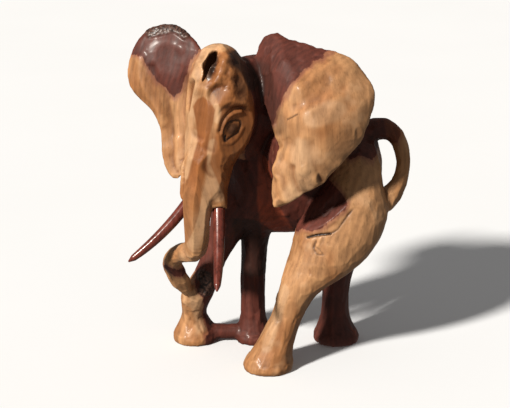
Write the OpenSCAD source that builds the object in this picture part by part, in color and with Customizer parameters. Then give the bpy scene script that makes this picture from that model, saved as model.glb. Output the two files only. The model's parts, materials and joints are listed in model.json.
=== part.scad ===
// Carved wooden elephant: one block of two-tone wood with two loose tusks.
//
// The elephant walks towards -X with its head turned towards -Y. +Z is up and
// the soles stand on z = 0. All sizes are in millimetres.
//
// The block is a set of skins: each limb is a list of stations down its length,
// and a station is a place in the block with the section's two half-sizes.

/* [Block] */
// Length of the carving, from the right ear to the tail
block_length = 249; // [200:1:300]
// Depth of the carving, from the left ear to the far flank
block_depth = 140; // [115:1:170]
// Height of the carving, from the soles to the ear tops
block_height = 304; // [240:1:360]

/* [Head] */
// How far the face looks forward from square across the left flank, in degrees
head_turn = 35; // [25:1:45]
// Width of the head across the temples
head_width = 61; // [52:1:72]
// Width of the trunk where it leaves the tusk pouches
trunk_root_d = 26; // [22:1:30]
// Width of the trunk in the curl
trunk_curl_d = 17; // [14:0.5:20]
// Width of the trunk at its tip
trunk_tip_d = 11; // [8:0.5:14]

/* [Ears] */
// Thickness of an ear in the middle
ear_thickness = 15; // [10:0.5:20]
// Thickness of an ear at its rim
ear_rim = 6; // [4:0.5:9]

/* [Legs] */
// Width of a sole
sole_d = 44; // [36:1:52]
// Width of a front ankle
front_ankle_d = 24; // [19:0.5:30]
// Width of a hind ankle
hind_ankle_d = 27; // [22:0.5:33]
// Height of the web of wood left between the front feet
web_height = 14; // [9:0.5:18]
// Thickness of that web
web_thickness = 17; // [10:0.5:24]

/* [Tail] */
// Thickness of the tail where it leaves the rump
tail_root_d = 19; // [15:0.5:23]
// Thickness of the tail at the outside of its loop
tail_d = 12.4; // [9:0.2:15]

/* [Tusks] */
// Length of a tusk outside its socket, along the curve
tusk_length = 76; // [60:1:92]
// Width of a tusk at its shoulder
tusk_d = 10.4; // [9:0.2:12]
// Width of a tusk just behind its point
tusk_point_d = 3.4; // [2.4:0.2:5]
// Diameter of the tenon that holds a tusk
tenon_d = 7; // [5:0.2:8]
// Length of that tenon
tenon_length = 13; // [10:0.5:16]
// Distance between the two tusk shoulders
tusk_spread = 32; // [28:1:36]

/* [Clearances] */
// Gap all round a tenon in its socket
tenon_gap = 0.08; // [0.05:0.01:0.15]
// Gap all round a tusk's shoulder in the recess it stands in
shoulder_gap = 0.4; // [0.3:0.05:0.8]
// Gap between a tusk's shoulder and the floor of that recess
seat_gap = 0.2; // [0.1:0.05:0.4]
// Depth of the socket beyond the tenon's end
socket_relief = 1.5; // [1:0.5:3]

/* [Hidden] */

// Colours of the two woods.
sapwood = [0.80, 0.60, 0.38];
heartwood = [0.33, 0.13, 0.10];

// The stations below are laid out in a block of this size, then stretched to the block asked for.
drawn_length = 249;
drawn_depth = 140;
drawn_height = 304;
stretch = [block_length / drawn_length, block_depth / drawn_depth, block_height / drawn_height];
function at(x, y, z) = [x * stretch.x, y * stretch.y, z * stretch.z];

// Moves the stations so that the origin is under the middle of the finished carving.
stand_shift = [-13 * stretch.x, 23.5 * stretch.y, 0];

// The soles stand this far proud of the skins' lowest slice.
sole_step = 1;

// Unit vectors of the head: the way it faces and the way to its left ear.
face_dir = [-sin(head_turn), -cos(head_turn), 0];
left_dir = [cos(head_turn), -sin(head_turn), 0];

// ---- Skins ----------------------------------------------------------------

function unit(v) = v / norm(v);

// A point on the smooth curve through p1 and p2, from p1 at t = 0 to p2 at t = 1.
function through(p0, p1, p2, p3, t) =
    0.5 * (2 * p1 + (p2 - p0) * t + (2 * p0 - 5 * p1 + 4 * p2 - p3) * t * t
        + (3 * p1 - p0 - 3 * p2 + p3) * t * t * t);

// The stations with `steps - 1` more between each pair. A closed list joins its end to its start.
function smooth(rows, steps, closed = false) =
    let (n = len(rows), last = closed ? n - 1 : n - 2)
    [
        for (i = [0:last], k = [0:steps - 1])
            closed
                ? through(rows[(i + n - 1) % n], rows[i], rows[(i + 1) % n], rows[(i + 2) % n], k / steps)
                : through(rows[max(i - 1, 0)], rows[i], rows[i + 1], rows[min(i + 2, n - 1)], k / steps),
        if (!closed) rows[n - 1]
    ];

// A station is [x, y, z, half-width, half-depth].
function station(place, a, b) = [place.x, place.y, place.z, a, b];
function centre(row) = [row[0], row[1], row[2]];

// A closed solid through rings that all have the same number of points.
module skin(rings) {
    n = len(rings[0]);
    m = len(rings);
    points = [for (ring = rings) each ring];
    walls = [
        for (j = [0:m - 2], i = [0:n - 1])
            let (a = j * n + i, b = j * n + (i + 1) % n, c = b + n, d = a + n)
            each [[a, b, c], [a, c, d]]
    ];
    floor_cap = [for (i = [1:n - 2]) [0, i + 1, i]];
    roof_cap = let (o = (m - 1) * n) [for (i = [1:n - 2]) [o, o + i, o + i + 1]];
    polyhedron(points = points, faces = [for (f = concat(walls, floor_cap, roof_cap)) [f[2], f[1], f[0]]]);
}

// A limb cut in level slices, from the lowest to the highest, turned about Z.
module level_limb(rows, sides, steps, turn = 0) {
    skin([
        for (row = smooth(rows, steps))
            [
                for (i = [0:sides - 1])
                    let (t = 360 * i / sides, u = row[3] * cos(t), v = row[4] * sin(t))
                    [row[0] + u * cos(turn) - v * sin(turn), row[1] + u * sin(turn) + v * cos(turn), row[2]]
            ]
    ]);
}

// A limb swept along its own line. Its half-width lies square to `ref`.
module swept_limb(rows, sides, steps, ref) {
    fine = smooth(rows, steps);
    last = len(fine) - 1;
    skin([
        for (j = [0:last])
            let (
                along = unit(centre(fine[min(j + 1, last)]) - centre(fine[max(j - 1, 0)])),
                side = unit(cross(ref, along)),
                up = cross(along, side)
            )
            [
                for (i = [0:sides - 1])
                    let (t = 360 * i / sides)
                    centre(fine[j]) + side * fine[j][3] * cos(t) + up * fine[j][4] * sin(t)
            ]
    ]);
}

// A domed flap: `rim` is its closed edge, anticlockwise seen from the front, `middle` the point that
// its face is pulled out to, and `out` the way that the face looks. It is thickest in the middle.
module flap(rim, middle, out, thickness, rim_thickness, steps) {
    edge = smooth(rim, steps, closed = true);
    shares = [1, 0.93, 0.75, 0.5, 0.28, 0.1];
    function half(s) = (rim_thickness + (thickness - rim_thickness) * (1 - s * s)) / 2 * sqrt(1 - 0.55 * pow(s, 8));
    function ring(s, side) =
        [for (p = edge) middle + (p - middle) * s + out * ((p - middle) * out * (s * s - s) + side * half(s))];
    skin(concat(
        [for (i = [len(shares) - 1:-1:0]) ring(shares[i], -1)],
        [for (s = shares) ring(s, 1)]
    ));
}

// ---- Body -----------------------------------------------------------------

module torso() {
    rows = [
        station(at(-36, 12, 192), 8, 12),
        station(at(-32, 12, 193), 20, 36),
        station(at(-22, 14, 194), 32, 62),
        station(at(-4, 16, 193), 40, 79),
        station(at(20, 18, 188), 42, 80),
        station(at(48, 18, 181), 41, 73),
        station(at(76, 15, 178), 40, 60),
        station(at(96, 11, 180), 34, 44),
        station(at(107, 8, 182), 24, 29),
        station(at(112, 7, 183), 10, 12),
    ];
    swept_limb(rows, 26, 2, [0, 0, 1]);
}

module neck() {
    rows = [
        station(at(10, 14, 222), 34, 52),
        station(at(-2, -4, 230), 30, 48),
        station(at(-14, -20, 236), 27, 42),
        station(at(-26, -34, 238), 22, 34),
    ];
    swept_limb(rows, 20, 3, [0, 0, 1]);
}

// ---- Head -----------------------------------------------------------------

module head() {
    w = head_width / 2;
    rows = [
        station(at(-45, -54, 159), 10, 11),
        station(at(-43, -53, 166), 17, 17),
        station(at(-42, -52, 178), 20, 22),
        station(at(-40, -49, 191), 21, 25),
        station(at(-36, -45, 201), w - 6, 27),
        station(at(-32, -42, 211), w - 2.5, 29),
        station(at(-29, -39, 226), w, 31),
        station(at(-28.5, -38, 242), w - 0.5, 31),
        station(at(-29, -37, 260), w - 3, 28),
        station(at(-30, -36, 276), w - 9, 22),
        station(at(-31, -34, 287), w - 17, 14),
        station(at(-31, -33, 291), w - 26, 5),
    ];
    level_limb(rows, 22, 2, -head_turn);
}

module trunk() {
    r0 = trunk_root_d / 2;
    r1 = trunk_curl_d / 2;
    rows = [
        station(at(-44, -56, 190), r0 + 4, r0 + 4),
        station(at(-46, -58, 176), r0 + 2, r0 + 2),
        station(at(-49, -60, 162), r0 + 0.5, r0 + 0.5),
        station(at(-50, -60, 148), r0 - 1, r0 - 1),
        station(at(-50.5, -58, 134), r0 - 1.5, r0 - 1.5),
        station(at(-51, -54, 121), r0 - 2.5, r0 - 2.5),
        station(at(-54, -45, 112), r1 + 1.5, r1 + 1.5),
        station(at(-61, -34, 107), r1 + 0.5, r1 + 0.5),
        station(at(-69, -25, 102), r1, r1),
        station(at(-74, -19, 94), r1, r1),
        station(at(-75, -14, 84), r1 - 0.3, r1 - 0.3),
        station(at(-71, -9, 73), r1 - 0.6, r1 - 0.6),
        station(at(-65, -3, 64), r1 - 1.5, r1 - 1.5),
        station(at(-61, 3, 55), trunk_tip_d / 2, trunk_tip_d / 2),
    ];
    swept_limb(rows, 14, 2, [1, -0.35, 0]);
}

// ---- Ears -----------------------------------------------------------------

module left_ear() {
    rim = [
        at(1, -12, 280), at(2, -22, 260), at(8, -38, 242), at(14, -50, 226), at(20, -58, 208), at(17, -58, 193),
        at(14, -58, 174), at(18, -62, 157), at(39, -70, 169), at(60, -71, 184), at(74, -67, 198),
        at(89, -62, 214), at(97, -57, 234), at(101, -50, 253), at(92, -45, 269), at(80, -40, 281),
        at(68, -36, 286), at(54, -32, 288), at(40, -27, 292), at(27, -20, 294), at(19, -14, 298), at(8, -10, 294),
    ];
    flap(rim, at(56, -72, 222), [0, -1, 0], ear_thickness, ear_rim, 2);
}

// The root that ties the left ear to the neck and the shoulder, behind the ear.
module left_ear_root() {
    rows = [
        station(at(-4, 8, 240), 8, 12),
        station(at(6, -2, 249), 11, 26),
        station(at(20, -24, 250), 9, 27),
        station(at(34, -46, 244), 6, 18),
    ];
    swept_limb(rows, 14, 2, [0, 0, 1]);
    low_rows = [
        station(at(14, 0, 192), 14, 26),
        station(at(20, -28, 192), 11, 22),
        station(at(28, -56, 192), 6, 14),
    ];
    swept_limb(low_rows, 14, 2, [0, 0, 1]);
}

module right_ear() {
    rim = [
        at(-46, -18, 284), at(-55, -10, 294), at(-66, -3, 301), at(-80, 1, 302), at(-96, 3, 295),
        at(-106, 2, 281), at(-111, 0, 264), at(-109, -5, 249), at(-99, -10, 238), at(-88, -15, 228),
        at(-82, -20, 214), at(-81, -25, 194), at(-76, -29, 178), at(-67, -32, 173), at(-60, -34, 186),
        at(-52, -36, 205), at(-46, -30, 235), at(-43, -24, 262),
    ];
    flap(rim, at(-78, -12, 250), unit([-0.15, -1, 0]), ear_thickness - 2, ear_rim, 2);
}

// The root that ties the right ear to the head.
module right_ear_root() {
    rows = [
        station(at(-28, -22, 246), 16, 30),
        station(at(-44, -17, 244), 12, 30),
        station(at(-60, -12, 242), 6, 22),
    ];
    swept_limb(rows, 14, 3, [0, 0, 1]);
}

// ---- Legs -----------------------------------------------------------------

module left_hind_leg() {
    s = sole_d / 2;
    k = hind_ankle_d / 2;
    rows = [
        station(at(12, -40, 1), s + 0.5, s + 0.5),
        station(at(12, -40, 5), s + 1, s + 1),
        station(at(14, -40, 13), s - 2.5, s - 2.5),
        station(at(19, -40, 26), k + 3, k + 3),
        station(at(24, -39, 39), k + 1.5, k + 1.5),
        station(at(30, -38, 52), k + 0.8, k + 1),
        station(at(35, -38, 65), k + 3, k + 3),
        station(at(42, -37, 76), 20, 19),
        station(at(51, -36, 86), 27, 22),
        station(at(61, -34, 98), 33, 24),
        station(at(69, -32, 112), 37, 26),
        station(at(75, -30, 128), 39, 26),
        station(at(81, -28, 144), 36, 25),
        station(at(86, -23, 162), 27, 23),
        station(at(91, -12, 184), 19.5, 17),
        station(at(93, -5, 200), 12, 10),
    ];
    level_limb(rows, 22, 2);
}

module right_hind_leg() {
    s = sole_d / 2;
    k = hind_ankle_d / 2;
    rows = [
        station(at(77, 26, 1), s - 0.5, s - 0.5),
        station(at(77, 26, 5), s, s),
        station(at(76, 26, 12), s - 3.5, s - 3.5),
        station(at(75.5, 26, 24), k + 0.3, k + 1),
        station(at(75.5, 26, 40), k - 1, k),
        station(at(76, 26, 56), k - 0.5, k + 1),
        station(at(78, 26, 76), 16, 18),
        station(at(80, 26, 98), 22, 22),
        station(at(84, 25, 122), 28, 24),
        station(at(86, 20, 146), 25, 22),
        station(at(90, 14, 168), 17, 16),
    ];
    level_limb(rows, 18, 2);
}

module left_front_leg() {
    s = sole_d / 2;
    k = front_ankle_d / 2;
    rows = [
        station(at(-56, 27, 1), s - 0.5, s - 0.5),
        station(at(-56, 27, 5), s, s),
        station(at(-56, 27, 12), s - 3.5, s - 3.5),
        station(at(-57, 26, 22), k + 1, k + 1.5),
        station(at(-57, 23, 32), k - 0.5, k + 1),
        station(at(-55, 18, 44), k + 2.5, k + 3),
        station(at(-51, 16, 56), k + 3, k + 3),
        station(at(-45, 17, 68), k + 1, k + 1),
        station(at(-39, 19, 81), k + 0.5, k + 2),
        station(at(-31, 21, 98), k + 3, k + 5),
        station(at(-22, 20, 116), 19, 22),
        station(at(-14, 18, 138), 26, 28),
        station(at(-8, 16, 160), 24, 28),
    ];
    level_limb(rows, 18, 2);
}

module right_front_leg() {
    s = sole_d / 2;
    k = front_ankle_d / 2;
    rows = [
        station(at(-1, 25, 1), s - 4.5, s - 4.5),
        station(at(-1, 25, 5), s - 4, s - 4),
        station(at(-1, 26, 12), s - 7, s - 7),
        station(at(-2, 27, 24), k, k + 1),
        station(at(-2, 28, 42), k - 0.5, k + 1),
        station(at(-2, 29, 60), k - 0.3, k + 1.5),
        station(at(-1, 30, 80), k, k + 3),
        station(at(0, 29, 100), k + 1, k + 6),
        station(at(2, 26, 116), 18, 21),
        station(at(4, 24, 138), 25, 26),
    ];
    level_limb(rows, 18, 2);
}

// The web of wood left between the front feet.
module foot_web() {
    t = web_thickness / 2;
    rows = [
        station(at(-52, 24, 2 + web_height / 2), web_height / 2, t),
        station(at(-38, 24, 2 + web_height / 2), web_height / 2, t),
        station(at(-24, 24, 1.5 + web_height / 2), web_height / 2, t - 1),
        station(at(-4, 25, 2 + web_height / 2), web_height / 2, t),
    ];
    swept_limb(rows, 14, 3, [0, 1, 0]);
}

// The flat underside of one foot.
module sole(place, d) {
    translate(place) cylinder(h = 4, d = d, $fn = 64);
}

module soles() {
    sole(at(12, -40, 0), sole_d - 1);
    sole(at(77, 26, 0), sole_d - 3);
    sole(at(-56, 27, 0), sole_d - 3);
    sole(at(-1, 25, 0), sole_d - 11);
}

// ---- Tail -----------------------------------------------------------------

module tail() {
    r0 = tail_root_d / 2;
    r1 = tail_d / 2;
    rows = [
        station(at(96, 6, 203), r0 + 2, r0 + 2),
        station(at(106, 6, 208), r0 + 1, r0 + 1),
        station(at(116, 5, 208.5), r0 - 0.2, r0 - 0.2),
        station(at(125, 3, 203), r0 - 2, r0 - 2),
        station(at(130.5, -1, 191), r1 + 0.6, r1 + 0.6),
        station(at(131.5, -5, 179), r1, r1),
        station(at(129, -10, 167), r1 + 0.5, r1 + 0.5),
        station(at(122, -15, 156), r1 + 3, r1 + 3),
        station(at(112, -19, 147), r1 + 4, r1 + 4),
    ];
    swept_limb(rows, 14, 2, [0.2, 1, 0]);
}

// ---- Tusks ----------------------------------------------------------------

// Middle between the two tusk shoulders.
tusk_middle = at(-44, -50, 157);
// A tusk leaves its pouch one way and ends another, each given as [forward, outward, down].
// The right one flares further out.
root_way = [[0.38, 0.31, 0.87], [0.38, 0.43, 0.82]];
point_way = [[0.62, 0.37, 0.69], [0.6, 0.56, 0.57]];

// side is 1 for the left tusk and -1 for the right one.
function pick(pair, side) = unit(side > 0 ? pair[0] : pair[1]);
function tusk_seat(side) = tusk_middle + left_dir * side * tusk_spread / 2;
function head_way(v, side) = face_dir * v.x + left_dir * side * v.y + [0, 0, -v.z];
function tusk_axis(side) = head_way(pick(root_way, side), side);

// Stands what is drawn up +Z at the tusk's shoulder, pointing the way the tusk leaves.
module at_shoulder(side) {
    d = tusk_axis(side);
    translate(tusk_seat(side)) rotate([0, acos(d.z), atan2(d.y, d.x)]) children();
}

module tusk(side) {
    steps = 14;
    step = tusk_length / steps;
    root = pick(root_way, side);
    point = pick(point_way, side);
    ways = [for (i = [0:steps]) head_way(unit(root + (point - root) * i / steps), side)];
    // Places along the curve are the running sums of the ways.
    function place(i) = i == 0 ? tusk_seat(side) : place(i - 1) + ways[i] * step;
    function radius(t) = tusk_point_d / 2 + (tusk_d - tusk_point_d) / 2 * sqrt(1 - pow(t, 1.8));
    rings = [
        for (i = [0:steps])
            let (
                along = ways[i],
                across = unit(cross(along, [1, 0, 0])),
                up = cross(along, across),
                r = i == steps ? tusk_point_d / 5 : radius(i / steps)
            )
            [for (k = [0:15]) place(i) + (across * cos(22.5 * k) + up * sin(22.5 * k)) * r]
    ];
    color(heartwood) {
        skin(rings);
        at_shoulder(side) translate([0, 0, -tenon_length]) cylinder(h = tenon_length + 2, d = tenon_d, $fn = 48);
    }
}

// What a tusk takes out of the block: the recess for its shoulder and the socket for its tenon.
module tusk_socket(side) {
    recess_reach = 14;
    at_shoulder(side) {
        translate([0, 0, -seat_gap]) rotate([0, 0, 90])
            cylinder(h = recess_reach, d = tusk_d + 2 * shoulder_gap, $fn = 32);
        translate([0, 0, -tenon_length - socket_relief])
            cylinder(h = tenon_length + socket_relief + 1, d = tenon_d + 2 * tenon_gap, $fn = 48);
    }
}

// The cheek beside the trunk, and the lip below it that wraps a tusk's root.
module tusk_pouch(side) {
    lip_wall = 2.6;
    lip_reach = 3;
    cheek_r = 14;
    hull() {
        translate(at(-44, -46, 186) + left_dir * side * cheek_r / 2) sphere(r = cheek_r, $fn = 24);
        at_shoulder(side) translate([0, 0, lip_reach - 2]) cylinder(h = 2, r = tusk_d / 2 + lip_wall, $fn = 20);
    }
}

// ---- Block ----------------------------------------------------------------

// The deep gouge beside the crown.
module crown_gouge() {
    translate(at(-38, -47, 272)) rotate([0, 10, -head_turn]) scale([0.36, 1, 1.3]) sphere(r = 14, $fn = 24);
}

// The skins together, with the gouge taken out, trimmed to the block's height.
module carving() {
    resize([0, 0, block_height - sole_step]) difference() {
        union() {
            torso();
            neck();
            head();
            trunk();
            left_ear();
            left_ear_root();
            right_ear();
            right_ear_root();
            left_hind_leg();
            right_hind_leg();
            left_front_leg();
            right_front_leg();
            foot_web();
            tail();
            tusk_pouch(1);
            tusk_pouch(-1);
        }
        crown_gouge();
    }
}

module carved_block() {
    color(sapwood) difference() {
        union() {
            carving();
            soles();
        }
        tusk_socket(1);
        tusk_socket(-1);
    }
}

module left_tusk() {
    tusk(1);
}

module right_tusk() {
    tusk(-1);
}

translate(stand_shift) carved_block();
translate(stand_shift) left_tusk();
translate(stand_shift) right_tusk();
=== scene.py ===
"""Carved wooden elephant: one block of two-tone wood and two loose tusks.

The elephant walks towards -X, its head turned towards -Y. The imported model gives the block, the
tusks and their joints. The block is carved over here with strokes, flats and knife facets, and
painted with its two woods.
"""

import json
import math

import bpy
import numpy as np
from bpy.props import FloatProperty, FloatVectorProperty, IntProperty, PointerProperty
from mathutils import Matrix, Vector
from mathutils.kdtree import KDTree


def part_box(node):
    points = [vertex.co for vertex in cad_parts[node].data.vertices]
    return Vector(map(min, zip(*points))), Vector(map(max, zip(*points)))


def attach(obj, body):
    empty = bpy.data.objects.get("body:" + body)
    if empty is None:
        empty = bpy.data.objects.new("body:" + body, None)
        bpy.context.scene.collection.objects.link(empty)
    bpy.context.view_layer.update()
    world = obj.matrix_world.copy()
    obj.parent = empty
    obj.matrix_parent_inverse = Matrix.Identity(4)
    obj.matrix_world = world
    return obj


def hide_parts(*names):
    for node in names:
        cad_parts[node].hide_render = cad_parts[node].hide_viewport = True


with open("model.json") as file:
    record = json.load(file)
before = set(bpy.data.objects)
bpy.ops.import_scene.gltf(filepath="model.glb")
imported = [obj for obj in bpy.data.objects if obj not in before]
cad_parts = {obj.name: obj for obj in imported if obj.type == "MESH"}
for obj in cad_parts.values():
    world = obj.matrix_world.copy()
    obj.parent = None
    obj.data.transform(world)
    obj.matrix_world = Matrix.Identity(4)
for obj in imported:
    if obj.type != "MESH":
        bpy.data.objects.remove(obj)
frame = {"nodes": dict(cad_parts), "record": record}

bl_info = {
    "name": "Carved wooden elephant",
    "version": (1, 0, 0),
    "blender": (4, 5, 0),
    "location": "View3D > Sidebar > Elephant",
    "description": "A two-tone carved elephant with two loose tusks, on a plain floor",
    "category": "Add Mesh",
}

# ---- Places ---------------------------------------------------------------

# The strokes below are laid out on a block with these corners, in millimetres, and then
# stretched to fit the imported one.
LAYOUT_LOW = np.array([-124.3, -56.0, 0.0])
LAYOUT_HIGH = np.array([124.8, 83.5, 304.0])
BLOCK_LOW, BLOCK_HIGH = (np.array(corner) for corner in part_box("carved_block"))
STRETCH = (BLOCK_HIGH - BLOCK_LOW) / (LAYOUT_HIGH - LAYOUT_LOW)
NEAR_SIDE = np.array([0.0, -1.0, 0.0])
UP = np.array([0.0, 0.0, 1.0])

# The middle of each tusk's shoulder, where it sits against the block, in layout millimetres.
TUSK_SEATS = {"left_tusk": (-43.9, -35.7, 157.0), "right_tusk": (-70.1, -17.3, 157.0)}
# The drilled socket that a tenon fills, and the wider recess that a shoulder sits in.
SOCKET_DEPTH, SOCKET_R = 14.5, 3.72
RECESS_REACH, RECESS_R, RECESS_FLOOR = 9.0, 5.75, 0.35
# Points nearer to the axis than these belong to the floor of the socket or the recess.
SOCKET_FLOOR_R, RECESS_FLOOR_R = 2.4, 4.6
# How tall the band of points is that is laid flat on the recess's floor.
RECESS_FLOOR_BAND = 2.5
# Points lower than this are part of a sole, and the carving stays within this much of the block's box.
SOLE_SKIN, LEEWAY = 0.8, 1.5


def at(points):
    """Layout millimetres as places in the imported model, in metres."""
    return BLOCK_LOW + (np.asarray(points, float) - LAYOUT_LOW) * STRETCH


def laid_out(points):
    """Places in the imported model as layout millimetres."""
    return LAYOUT_LOW + (points - BLOCK_LOW) / STRETCH


def unit(v):
    return v / np.linalg.norm(v)


def pull_axis(tusk):
    """The way that a tusk leaves its socket."""
    joint = next(j for j in frame["record"]["behaviour"]["joints"] if j["child"] == tusk)
    return unit(np.array(joint["axis"], float))


def curve_through(points, steps=5, closed=False):
    """A smooth curve through given places."""
    p = np.asarray(points, float)
    if len(p) < 3:
        return p
    ends = (p[-1:], p[:2]) if closed else (p[:1], p[-1:])
    q = np.vstack([ends[0], p, ends[1]])
    rows = []
    for i in range(len(q) - 3):
        a, b, c, d = q[i : i + 4]
        for t in np.arange(steps) / steps:
            bend, twist = 2 * a - 5 * b + 4 * c - d, 3 * b - a - 3 * c + d
            rows.append(0.5 * (2 * b + (c - a) * t + bend * t**2 + twist * t**3))
    rows.append(q[-2] if not closed else q[1])
    return np.array(rows)


# ---- Carving tools --------------------------------------------------------


def ease(x):
    """0 to 1 with soft ends."""
    x = np.clip(x, 0, 1)
    return x * x * (3 - 2 * x)


def nearest_on(line, p):
    """How far each point is from a line of places, its nearest run's number, and the share of it passed."""
    gap = np.full(len(p), 1e6)
    owner = np.zeros(len(p), dtype=int)
    along = np.zeros(len(p))
    for i, (a, b) in enumerate(zip(line[:-1], line[1:])):
        run = b - a
        t = (p - a) @ run / max(run @ run, 1e-9)
        here = np.linalg.norm(p - a - np.clip(t, 0, 1)[:, None] * run, axis=1)
        closer = here < gap
        gap[closer], owner[closer], along[closer] = here[closer], i, t[closer]
    return gap, owner, along


def near_to(points, line, reach):
    """The numbers of the points within reach of the box round a line."""
    low, high = line.min(axis=0) - reach, line.max(axis=0) + reach
    return np.where(((points > low) & (points < high)).all(axis=1))[0]


def one_in_each_cell(points):
    """The number of the first point in each whole-numbered cell."""
    cells = np.floor(points).astype(int)
    return np.unique(cells @ np.array([1, 1000, 1000000]), return_index=True)[1]


def tree_of(points):
    """A tree that finds the nearest of some points."""
    tree = KDTree(len(points))
    for i, point in enumerate(points):
        tree.insert(point, i)
    tree.balance()
    return tree


class Form:
    """A surface under the knife: its points in layout millimetres, its quads and its stains."""

    def __init__(self, points, quads):
        self.points = points
        self.quads = quads
        ring = np.vstack([quads[:, [i, (i + 1) % 4]] for i in range(4)])
        self.edges = np.unique(np.sort(ring, axis=1), axis=0)
        self.links = np.bincount(self.edges.ravel(), minlength=len(points)).astype(float)
        self.stains = {}

    def spread(self, values):
        """The average of each point's neighbours."""
        a, b = self.edges.T
        count = len(values)
        sums = [np.bincount(a, column[b], count) + np.bincount(b, column[a], count) for column in values.T]
        return np.stack(sums, axis=1) / self.links[:, None]

    def soften(self, rounds, where=None, keep_bulk=True):
        """Smooths the surface, and gives back its bulk after each pass unless told not to."""
        weight = 1.0 if where is None else where[:, None]
        for _ in range(rounds):
            self.points = self.points + 0.5 * weight * (self.spread(self.points) - self.points)
            if keep_bulk:
                self.points = self.points - 0.52 * weight * (self.spread(self.points) - self.points)

    def normals(self, rounds=0):
        """The outward way at each point, evened out over its neighbours."""
        p = self.points[self.quads]
        face = np.cross(p[:, 2] - p[:, 0], p[:, 3] - p[:, 1])
        n = np.stack(
            [
                sum(np.bincount(self.quads[:, i], face[:, k], len(self.points)) for i in range(4))
                for k in range(3)
            ],
            axis=1,
        )
        for _ in range(rounds):
            n = self.spread(n)
        return n / np.maximum(np.linalg.norm(n, axis=1), 1e-12)[:, None]

    def gap_to(self, path, reach, flatten=NEAR_SIDE, share=0.4):
        """How far each point is from a path, with steps along `flatten` counted at a share."""
        squeeze = np.eye(3) - (1 - share) * np.outer(flatten, flatten) / (flatten @ flatten)
        inside = near_to(self.points, path, 3 * reach)
        line = (path if len(path) > 1 else np.repeat(path, 2, axis=0)) @ squeeze
        gaps = np.full(len(self.points), 1e6)
        gaps[inside] = nearest_on(line, self.points[inside] @ squeeze)[0]
        return gaps

    def on_surface(self, path, facing, n):
        """The path with each place moved along `facing` onto the surface that it was laid out for."""
        moved = []
        for place in np.asarray(path, float):
            off = self.points - place
            along = off @ facing
            across = np.linalg.norm(off - np.outer(along, facing), axis=1)
            ok = (across < 2.5) & (np.abs(along) < 12) & (n @ facing > 0)
            if ok.any():
                pick = np.where(ok)[0]
                place = place + along[pick[np.argmin(across[pick] + 0.3 * np.abs(along[pick]))]] * facing
            moved.append(place)
        return np.array(moved)

    def stroke(self, path, width, height, closed=False, facing=NEAR_SIDE, stain=None, shade=0.8):
        """Raises a ridge along a path, or cuts a groove where height is below 0."""
        n = self.normals(2)
        line = curve_through(self.on_surface(path, facing, n), closed=closed)
        gap = self.gap_to(line, width, facing)
        weight = (1 - np.clip(gap / width, 0, 1) ** 2) ** 2
        weight = weight * ease((n @ facing + 0.15) / 0.4)
        self.points = self.points + n * (height * weight)[:, None]
        if stain:
            self.stain(stain, shade * ease(weight * 1.6))

    def dab(self, place, radius, height, facing=NEAR_SIDE, stain=None, shade=0.8):
        """One round bump, or a dent where height is below 0."""
        self.stroke([place], radius, height, facing=facing, stain=stain, shade=shade)

    def stain(self, name, amount):
        """Paints a stain, and keeps what is darker."""
        old = self.stains.get(name, np.zeros(len(self.points)))
        self.stains[name] = np.maximum(old, amount)

    def strokes(self, table):
        """Several strokes in turn: each a path, a width and a height."""
        for path, width, height in table:
            self.stroke(path, width, height)

    def stained(self, table):
        """Strokes painted dark with dirt and varnish, and in places with painted shade: each a path, a
        width, a height and how dark it is.
        """
        for path, width, height, shade in table:
            self.stroke(path, width, height, stain="stain", shade=shade)

    def dabs(self, table):
        """Several dabs in turn: each a place, a radius and a height."""
        for place, radius, height in table:
            self.dab(place, radius, height)

    def pushes(self, table):
        """Several pushes in turn: each a place, a radius and a move."""
        for place, radius, move in table:
            self.push(place, radius, move)

    def flats(self, table):
        """Several flats in turn: each a place, the way it faces, its reach and its depth."""
        for place, facing, reach, depth in table:
            self.flat(place, facing, reach, depth)

    def flat(self, place, facing, reach, depth):
        """Planes off what stands above a flat, within reach of its middle."""
        facing = unit(np.array(facing, float))
        place = np.array(place, float)
        from_middle = self.points - place
        above = from_middle @ facing + depth
        across = np.linalg.norm(from_middle - np.outer(from_middle @ facing, facing), axis=1)
        weight = ease((reach - across) / (0.25 * reach))
        weight = weight * (above < reach) * (self.normals(1) @ facing > 0.2)
        self.points = self.points - facing * (np.maximum(above, 0) * weight)[:, None]

    def plane_down(self, axis, flats, span=1.4):
        """Planes long flats down a limb.

        The axis is a list of (x, y, z, radius), and a flat is (way, share of the radius).
        """
        rows = curve_through(axis)
        line, thick = rows[:, :3], rows[:, 3]
        inside = near_to(self.points, line, 40)
        p = self.points[inside]
        gap, i, t = nearest_on(line, p)
        past_start = np.where(i == 0, np.maximum(-t, 0), 0)
        past_end = np.where(i == len(line) - 2, np.maximum(t - 1, 0), 0)
        run = line[i + 1] - line[i]
        fade = ease(1 - (past_start + past_end) * np.linalg.norm(run, axis=1) / 6)
        t = np.clip(t, 0, 1)
        centre = line[i] + t[:, None] * run
        radius = thick[i] + t * (thick[i + 1] - thick[i])
        ok = (gap < radius * span) * fade
        for way, share in flats:
            way = unit(np.array(way, float))
            above = (p - centre) @ way - radius * share
            p = p - way * (np.maximum(above, 0) * ok)[:, None]
        self.points[inside] = p

    def push(self, place, radius, move):
        """Moves the wood round a place by a given amount, less and less towards the radius."""
        gap = np.linalg.norm(self.points - np.array(place, float), axis=1)
        weight = (1 - np.clip(gap / radius, 0, 1) ** 2) ** 2
        self.points = self.points + weight[:, None] * np.array(move, float)

    def chip(self, size, most, share, seed, stretch=0.6):
        """Cuts flat knife facets of about that size, which move a point by `most` at the most.

        share says how much of that each point takes.
        """
        rng = np.random.default_rng(seed)
        squeeze = np.array([1, 1, stretch])
        low = self.points.min(axis=0)
        first = one_in_each_cell((self.points - low) * squeeze / size)
        seeds = self.points[first] * squeeze + rng.normal(0, 0.18 * size, (len(first), 3))
        tree = tree_of(seeds)
        owner = np.array([tree.find(p)[1] for p in self.points * squeeze])
        n = self.normals(3)
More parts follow.
